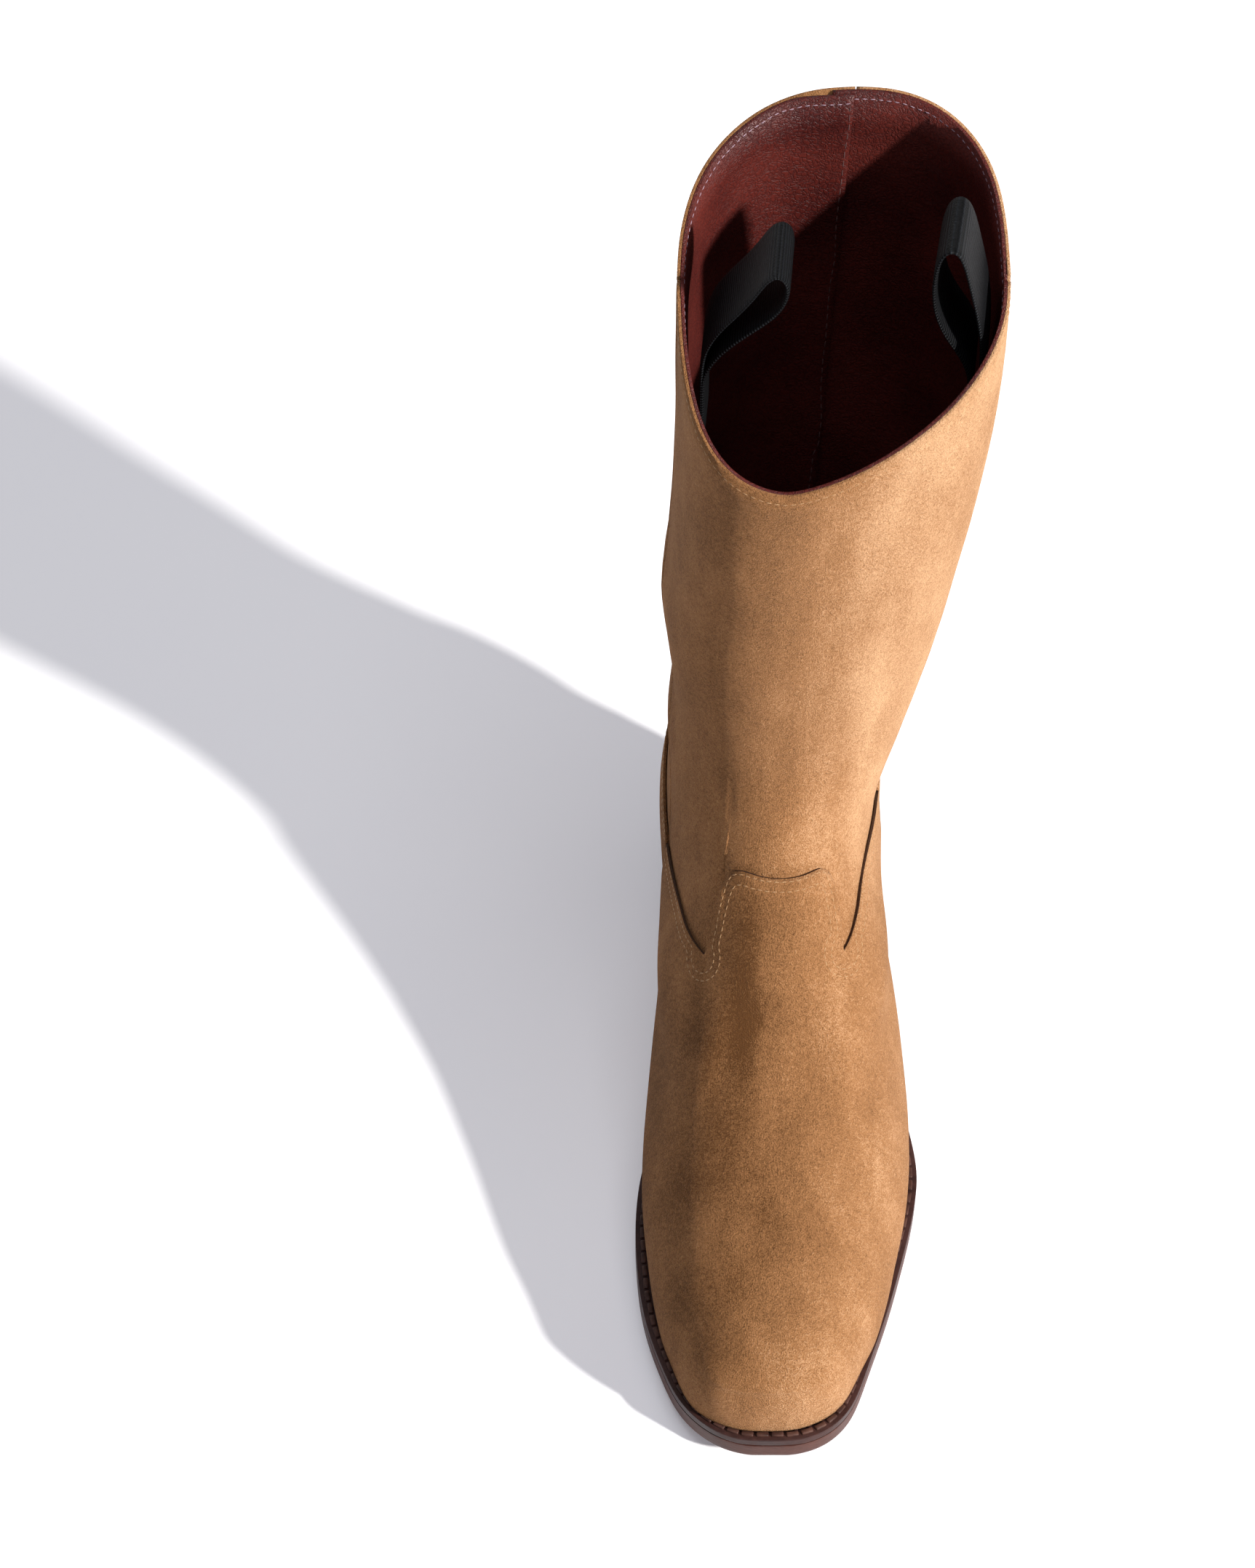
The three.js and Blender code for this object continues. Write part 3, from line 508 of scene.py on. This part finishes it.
def lining_leather():
    calf = Finish("lining_leather", Roughness=0.45, Specular_IOR_Level=0.3)
    creased = calf.node("ShaderNodeTexVoronoi", {"feature": "DISTANCE_TO_EDGE"}, {
        "Vector": calf.blend(0.006, calf.place, calf.node(
            "ShaderNodeTexNoise", {}, {"Vector": calf.place, "Scale": 260, "Detail": 3}, "Color")),
        "Scale": 620})
    grain = calf.tone(creased, [(0.0, 0.0), (0.16, 0.8), (0.6, 1.0)])
    pores = calf.noise(0.0007, detail=2)
    wear = calf.noise(0.03, detail=3)
    tone = wear * 0.8 + pores * 0.25 + 0.22 * calf.node("ShaderNodeSeparateColor", {}, {0: grain}) - 0.2
    colour = calf.tone(tone, [(0.25, LINING_DARK), (0.75, LINING_LIGHT)])
    rough = calf.tone(wear, [(0.3, 0.45), (0.7, 0.6)])
    return calf.feed(Base_Color=colour, Roughness=rough,
                     Normal=calf.bump(grain, 0.0003, 0.6, after=calf.bump(pores, 0.0002, 0.3)))


lining_finish = lining_leather()
LINING_SKINS = [lining_finish, lining_finish, lining_finish]


def meets_rim(shown, hidden, edges):
    """Brings the lining out to the suede at the top line."""
    pressed(hidden, 1, lambda place: RIM_THIN * rim_share(place))
    pressed(shown, -1, lambda place: RIM_THIN * rim_share(place))


lining = {part: leather_piece(part, "lining", LINING_SKINS, inside=True, lap=meets_rim) for part in (
    "vamp_lining", "heel_lining", "shaft_lining_front", "shaft_lining_back_lateral",
    "shaft_lining_back_medial")}


# ---- Seams of the upper ----
# Waxed thread in single stitches: tan on the suede, pale lilac on the lining. Each row keeps one
# distance from the leather's cut edge.
def thread(name, dark, light):
    cord = Finish(name, Roughness=0.6, Specular_IOR_Level=0.3, Sheen_Weight=0.15)
    twist = cord.noise(0.0005, detail=2, stretch=(1, 1, 2.5))
    return cord.feed(Base_Color=cord.tone(twist, [(0.3, dark), (0.7, light)]),
                     Normal=cord.bump(twist, 0.0003, 0.6))


BORDER_STEPS = 12


def edge_points(node, wanted):
    """A search tree of points along a piece's cut edges, where wanted(place, edge's normal) holds."""
    found = [start.lerp(end, step / BORDER_STEPS) for (start, end), normal in borders[node]
             if wanted(start, normal) for step in range(BORDER_STEPS + 1)]
    tree = KDTree(len(found))
    for i, point in enumerate(found):
        tree.insert(point, i)
    tree.balance()
    return tree


def rows_at(piece, measure, distance):
    """Lines on the shown side of a leather piece, where measure(place) is the distance."""
    shape = bmesh.new()
    shape.from_mesh(piece.data)
    away = {vert: measure(vert.co) - distance for vert in shape.verts}
    links, spots = {}, {}
    for face in shape.faces:
        if face.material_index != FACE_SKIN:
            continue
        crossed = []
        for edge in face.edges:
            first, second = edge.verts
            if (away[first] < 0) != (away[second] < 0):
                share = away[first] / (away[first] - away[second])
                spots[edge.index] = (first.co.lerp(second.co, share),
                                     first.normal.lerp(second.normal, share).normalized())
                crossed.append(edge.index)
        if len(crossed) == 2:
            for one, other in (crossed, crossed[::-1]):
                links.setdefault(one, []).append(other)
    lines = []
    while links:
        start = next((key for key, near in links.items() if len(near) == 1), next(iter(links)))
        line, here = [], start
        while here is not None:
            line.append(spots[here])
            near = links.pop(here)
            here = next((key for key in near if key in links), None)
        lines.append(line)
    shape.free()
    return lines


def spaced(line, pitch):
    """Places along a line, pitch apart: (place, direction, normal)."""
    places = np.array([place for place, _ in line])
    ups = np.array([up for _, up in line])
    along = np.concatenate([[0], np.cumsum(np.linalg.norm(np.diff(places, axis=0), axis=1))])
    found = []
    for i in range(int(along[-1] / pitch)):
        at = (i + 0.5) * pitch
        here, before, after = (Vector([float(np.interp(s, along, places[:, k])) for k in range(3)])
                               for s in (at, at - pitch / 3, at + pitch / 3))
        up = Vector([float(np.interp(at, along, ups[:, k])) for k in range(3)])
        found.append((here, (after - before).normalized(), up.normalized()))
    return found


def stitch_frame(place, along, up, lift):
    """The matrix of a stitch: X along the row, Z out of the leather."""
    across = up.cross(along).normalized()
    turned = Matrix((along, across, along.cross(across))).transposed().to_4x4()
    return Matrix.Translation(place + up * lift) @ turned


def sew(name, lines, pitch, length, width, material, body="boot"):
    """A row of single stitches, each a small lens of thread half sunk in the leather."""
    shape = bmesh.new()
    for line in lines:
        for place, along, up in spaced(line, pitch):
            turned = stitch_frame(place, along, up, -width * 0.1)
            size = Matrix.Diagonal((length / 2, width / 2, width / 2.4, 1))
            bmesh.ops.create_uvsphere(shape, u_segments=6, v_segments=4, radius=1,
                                      matrix=turned @ size @ Matrix.Rotation(math.pi / 2, 4, "Y"))
    return finished(shape, name, body, [material], levels=0)


tan_thread = thread("tan_thread", (0.28, 0.14, 0.055), (0.5, 0.3, 0.14))
lilac_thread = thread("lilac_thread", (0.16, 0.09, 0.12), (0.42, 0.3, 0.36))
plum_thread = thread("plum_thread", (0.05, 0.02, 0.02), (0.14, 0.06, 0.055))
THREAD = 0.0005
TOP_LINE_ROW = 0.0042
TOP_PITCH, TOP_STITCH = 0.0026, 0.0018
EDGE_PITCH, EDGE_STITCH = 0.0026, 0.0019


def nearest(tree):
    return lambda place: tree.find(place)[2]


def top_wall(place, wall):
    return place.z > 0.3 and wall.z > 0.5


SHAFT_PANELS = {"front": shaft_front, "back_medial": back_panels[0], "back_lateral": back_panels[1]}
for part, piece in SHAFT_PANELS.items():
    rim = edge_points("shaft_" + part, top_wall)
    sew("top_stitches_" + part, rows_at(piece, nearest(rim), TOP_LINE_ROW), TOP_PITCH, TOP_STITCH, THREAD,
        tan_thread)
    rim = edge_points("shaft_lining_" + part, top_wall)
    sew("inner_stitches_" + part, rows_at(lining["shaft_lining_" + part], nearest(rim), TOP_LINE_ROW),
        TOP_PITCH, TOP_STITCH, THREAD, lilac_thread)


NOTCHES = [Vector((-0.0252, -0.0982, 0.1)), Vector((0.0242, -0.1005, 0.1062))]
NOTCH_CLEAR = 0.0042


def vamp_top(place, wall):
    return place.z > 0.084 and (abs(place.x) < 0.03 or wall.y < 0.7)


vamp_edge = edge_points("vamp", vamp_top)


def from_vamp_edge(place):
    """The distance to the vamp's upper edge. Round the notches a row keeps further off."""
    return min(vamp_edge.find(place)[2], *((place - notch).length - NOTCH_CLEAR for notch in NOTCHES))


for row, distance in enumerate((0.0021, 0.0048)):
    sew(f"vamp_stitches_{row}", rows_at(vamp, from_vamp_edge, distance), EDGE_PITCH, EDGE_STITCH, THREAD,
        tan_thread)
counter_edge = edge_points("counter_cover", lambda place, wall: place.z > 0.07 and wall.z > 0.5)
for row, distance in enumerate((0.0021, 0.0048)):
    sew(f"counter_stitches_{row}", rows_at(counter, nearest(counter_edge), distance), EDGE_PITCH,
        EDGE_STITCH, THREAD, tan_thread)
lap = lining["shaft_lining_back_medial"]
lap_edge = edge_points("shaft_lining_back_medial", lambda place, wall: place.y > 0.03 and abs(wall.z) < 0.5)
sew("lap_stitches", rows_at(lap, nearest(lap_edge), 0.002), 0.004, 0.003, THREAD, plum_thread)


# ---- Sole and welt ----
# A leather outsole under a dark leather welt, which a rand carries on round the heel seat. A row of
# thick waxed stitches through the welt holds it to the outsole.
def waxed(name, dark, light, rough=0.5):
    leather = Finish(name, Roughness=rough, Specular_IOR_Level=0.22)
    fibre = leather.noise(0.0012, detail=3, stretch=(0.5, 0.5, 2.2))
    burnish = leather.noise(0.02, detail=3)
    colour = leather.tone(fibre * 0.5 + burnish * 0.5, [(0.35, dark), (0.65, light)])
    gloss = leather.tone(burnish, [(0.3, rough - 0.1), (0.7, rough + 0.15)])
    return leather.feed(Base_Color=colour, Roughness=gloss, Normal=leather.bump(fibre, 0.0002, 0.35))


welt_finish = waxed("waxed_welt", (0.028, 0.011, 0.009), (0.06, 0.024, 0.02))
sole_finish = waxed("sole_leather", (0.055, 0.019, 0.014), (0.105, 0.042, 0.031))
welt_thread = waxed("welt_thread", (0.03, 0.012, 0.009), (0.11, 0.05, 0.036))


def hard_piece(node, material, bevel, levels=2, shaped=None):
    """A stiff piece made on its CAD piece: its outline is rounded and its edges are broken."""
    shape = opened(node)
    creased(shape)
    if shaped:
        shaped(shape)
    piece = finished(shape, "finished_" + node, "boot", [material, material], levels)
    edges = piece.modifiers.new("edges", "BEVEL")
    edges.width = bevel
    edges.segments = 3
    edges.limit_method = "ANGLE"
    edges.angle_limit = SHARP
    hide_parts(node)
    return piece


hard_piece("outsole", sole_finish, 0.0007)
hard_piece("heel_rand", welt_finish, 0.0006)


def top_side(shape):
    """Marks the welt's top, so that the row of stitches can be laid on it."""
    around = [edge for edge in shape.edges if edge.calc_face_angle(0) > SHARP]
    for face in shape.faces:
        face.material_index = FACE_SKIN if face.normal.z > 0.6 else EDGE_SKIN
    middle = Vector((0, -0.12, 0))
    for edge in around:
        top, wall = sorted(edge.link_faces, key=lambda face: -face.normal.z)
        centre = edge.verts[0].co.lerp(edge.verts[1].co, 0.5)
        if top.normal.z > 0.6 and wall.normal.dot((centre - middle) * Vector((1, 0.5, 0))) > 0:
            borders.setdefault("welt", []).append(([vert.co.copy() for vert in edge.verts], wall.normal))


welt = hard_piece("welt", welt_finish, 0.0008, shaped=top_side)
WELT_ROW = 0.0027
WELT_PITCH = 0.0052
WELT_STITCH = (0.0043, 0.0019, 0.0012)


def welt_stitches():
    shape = bmesh.new()
    rim = edge_points("welt", lambda place, wall: abs(wall.y) < 0.98 or place.y < -0.2)
    for line in rows_at(welt, nearest(rim), WELT_ROW):
        for place, along, up in spaced(line, WELT_PITCH):
            size = Matrix.Diagonal((*WELT_STITCH, 1))
            bmesh.ops.create_cube(shape, size=1, matrix=stitch_frame(place, along, up, 0.0002) @ size)
    bmesh.ops.bevel(shape, geom=shape.edges[:], offset=0.00045, segments=2, profile=0.5, affect="EDGES",
                    material=-1)
    return finished(shape, "welt_stitches", "boot", [welt_thread], levels=0)


welt_stitches()


# ---- Heel ----
# Five leather lifts and a rubber top lift, nailed through, then ground to one slanting face on
# every side.
def stacked_leather():
    stack = Finish("stacked_leather", Roughness=0.42, Specular_IOR_Level=0.5)
    layers = stack.noise(0.003, detail=4, stretch=(0.12, 0.12, 3), rough=0.6)
    stain = stack.noise(0.014, detail=3)
    colour = stack.tone(layers * 0.6 + stain * 0.4, [(0.34, (0.045, 0.018, 0.013)),
                                                     (0.66, (0.15, 0.066, 0.046))])
    return stack.feed(Base_Color=colour, Normal=stack.bump(layers, 0.0002, 0.4))


def black_rubber():
    rubber = Finish("black_rubber", Roughness=0.7, Specular_IOR_Level=0.35)
    dust = rubber.noise(0.0015, detail=4)
    colour = rubber.tone(dust, [(0.3, (0.012, 0.011, 0.011)), (0.8, (0.05, 0.046, 0.045))])
    return rubber.feed(Base_Color=colour, Normal=rubber.bump(dust, 0.0003, 0.4))


heel_finish = stacked_leather()
LIFT_PITCH = 0.00702        # from one lift to the next
LIFT_JOINT = 0.00006        # the gap between two lifts
STACK_BACK, STACK_BREAST, STACK_SIDE = 0.00117, -0.0005, 0.011      # what each lift's faces slant by


def ground_flush(shape):
    """Slants a lift's faces to meet the next one's, and closes the gap between them."""
    low, high = (f(vert.co.z for vert in shape.verts) for f in (min, max))
    front, back = (f(vert.co.y for vert in shape.verts) for f in (min, max))
    middle = (low + high) / 2
    for vert in shape.verts:
        share = (vert.co.z - middle) / LIFT_PITCH
        along = (vert.co.y - front) / (back - front)
        vert.co.x *= 1 + share * STACK_SIDE
        vert.co.y += share * (STACK_BREAST + (STACK_BACK - STACK_BREAST) * along)
        vert.co.z = middle + (vert.co.z - middle) * (LIFT_PITCH - LIFT_JOINT) / (high - low)


for lift in range(1, 6):
    hard_piece(f"heel_lift_{lift}", heel_finish, 0.00015, shaped=ground_flush)
hard_piece("top_lift", black_rubber(), 0.0005)


# ---- Inside the sole ----
# The parts that the boot hides: leather board, cork, a steel shank and the heel's nails. The sock
# lining lies on top of them.
def plain(name, dark, light, size, **uniform):
    stuff = Finish(name, **uniform)
    grain = stuff.noise(size, detail=4, rough=0.6)
    return stuff.feed(Base_Color=stuff.tone(grain, [(0.35, dark), (0.65, light)]),
                      Normal=stuff.bump(grain, 0.0003, 0.5))


board = plain("leather_board", (0.28, 0.18, 0.1), (0.45, 0.32, 0.2), 0.002, Roughness=0.9)
cork = plain("ground_cork", (0.16, 0.08, 0.035), (0.5, 0.32, 0.16), 0.0025, Roughness=0.95)
steel = plain("spring_steel", (0.35, 0.35, 0.36), (0.6, 0.6, 0.6), 0.001, Metallic=1.0, Roughness=0.35)
HIDDEN = {"toe_puff": board, "heel_stiffener": board, "insole": board, "heel_seat_filler": board,
          "cork_filler": cork, "shank": steel, **{f"heel_nail_{n}": steel for n in range(1, 6)}}
for node, material in HIDDEN.items():
    frame["nodes"][node].data.materials.clear()
    frame["nodes"][node].data.materials.append(material)
sock = leather_piece("sock_lining", "lining", LINING_SKINS, levels=1)


# ---- Pull straps ----
# Black grosgrain webbing. Each strap is one length, folded into a loop, with both tails sewn to the
# lining below the top line.
WEBBING = 0.0015
STRAP_WIDTH = 0.025
STRAP_TAIL = 0.034
STRAP_YAW = {"medial": 5, "lateral": 9}     # degrees
# The loop's path from the wall over the fold and back, across and up from its hinge line, in mm.
STRAP_PATHS = {
    "medial": [(-1.0, 1), (-0.6, 12), (4.0, 23), (11.3, 33), (16.0, 41.5), (19.2, 48.5), (23.5, 51),
               (27.2, 46.5), (26.8, 38), (22.3, 29.5), (13.3, 20.5), (5.3, 11), (1.0, 1)],
    "lateral": [(1.0, 1), (0.5, 15), (-1.5, 28), (-4.4, 40), (-6.9, 51), (-9.8, 57.5), (-13.5, 54),
                (-14.7, 44), (-14.6, 32), (-11.0, 20), (-4.3, 10), (-1.0, 1)],
}


def grosgrain():
    ribbed = Finish("grosgrain", Roughness=0.6, Specular_IOR_Level=0.15)
    flat_place = ribbed.node("ShaderNodeUVMap", {"uv_map": "UVMap"}, {})
    ribs = ribbed.node("ShaderNodeTexWave", {"bands_direction": "X"}, {
        "Vector": flat_place, "Scale": 260, "Distortion": 0.8, "Detail": 1, "Detail Scale": 3}, "Fac")
    yarns = ribbed.node("ShaderNodeTexWave", {"bands_direction": "Y"}, {
        "Vector": flat_place, "Scale": 520, "Distortion": 1.5, "Detail": 1, "Detail Scale": 2}, "Fac")
    lint = ribbed.noise(0.0007, detail=3, rough=0.7)
    weave = ribs * 0.65 + yarns * 0.35
    colour = ribbed.tone(weave * 0.75 + lint * 0.4, [
        (0.3, (0.0004, 0.0005, 0.0007)), (0.8, (0.0025, 0.003, 0.004)), (1, (0.025, 0.03, 0.036))])
    return ribbed.feed(Base_Color=colour, Normal=ribbed.bump(weave, 0.0005, 0.9))


grosgrain_finish = grosgrain()


def strap_line(side, root):
    """The band's middle line, (across, up), from the bottom of one tail to the other."""
    loop = [(root.x + across / 1000, root.z + up / 1000) for across, up in STRAP_PATHS[side]]
    tail = [-STRAP_TAIL + step * STRAP_TAIL / 7 for step in range(7)]
    outer, inner = loop[0][0], loop[-1][0]
    return [(outer, root.z + z) for z in tail] + loop + [(inner, root.z + z) for z in reversed(tail)]


def pull_strap(side):
    joint = next(j for j in frame["joints"] if j["name"] == side + "_strap_fold")
    root = Vector(joint["pos_m"])
    line = strap_line(side, root)
    curve = bpy.data.curves.new("strap_path", "CURVE")
    spline = curve.splines.new("NURBS")
    spline.points.add(len(line) - 1)
    for point, (across, up) in zip(spline.points, line):
        point.co = (across, 0, up, 1)
    spline.order_u = 4
    spline.use_endpoint_u = True
    spline.resolution_u = 5
    path = [vert.co.copy() for vert in
            bpy.data.meshes.new_from_object(bpy.data.objects.new("strap_path", curve)).vertices]
    ways = [(path[min(i + 1, len(path) - 1)] - path[max(i - 1, 0)]).normalized() for i in range(len(path))]
    along = np.concatenate([[0], np.cumsum([(b - a).length for a, b in zip(path, path[1:])])])
    shape = bmesh.new()
    uv = shape.loops.layers.uv.new("UVMap")
    bmesh.ops.create_grid(shape, x_segments=len(path) - 1, y_segments=6, size=0.5)
    turned = Matrix.Rotation(-math.radians(STRAP_YAW[side]), 3, "Z")
    spots = {vert: (round((vert.co.x + 0.5) * (len(path) - 1)), vert.co.y * STRAP_WIDTH)
             for vert in shape.verts}
    for face in shape.faces:
        for loop in face.loops:
            step, across = spots[loop.vert]
            loop[uv].uv = (along[step], across)
    for vert, (step, across) in spots.items():
        offset = Vector((path[step].x - root.x, across, 0))
        vert.co = Vector((root.x, root.y, path[step].z)) + turned @ offset
    bmesh.ops.recalc_face_normals(shape, faces=shape.faces)
    bmesh.ops.solidify(shape, geom=shape.faces[:], thickness=WEBBING)
    return shape, root


for side in ("medial", "lateral"):
    shape, root = pull_strap(side)
    strap = finished(shape, "webbing_" + side, None, [grosgrain_finish], levels=1)
    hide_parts("strap_anchor_" + side, "pull_strap_" + side)
    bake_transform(strap)
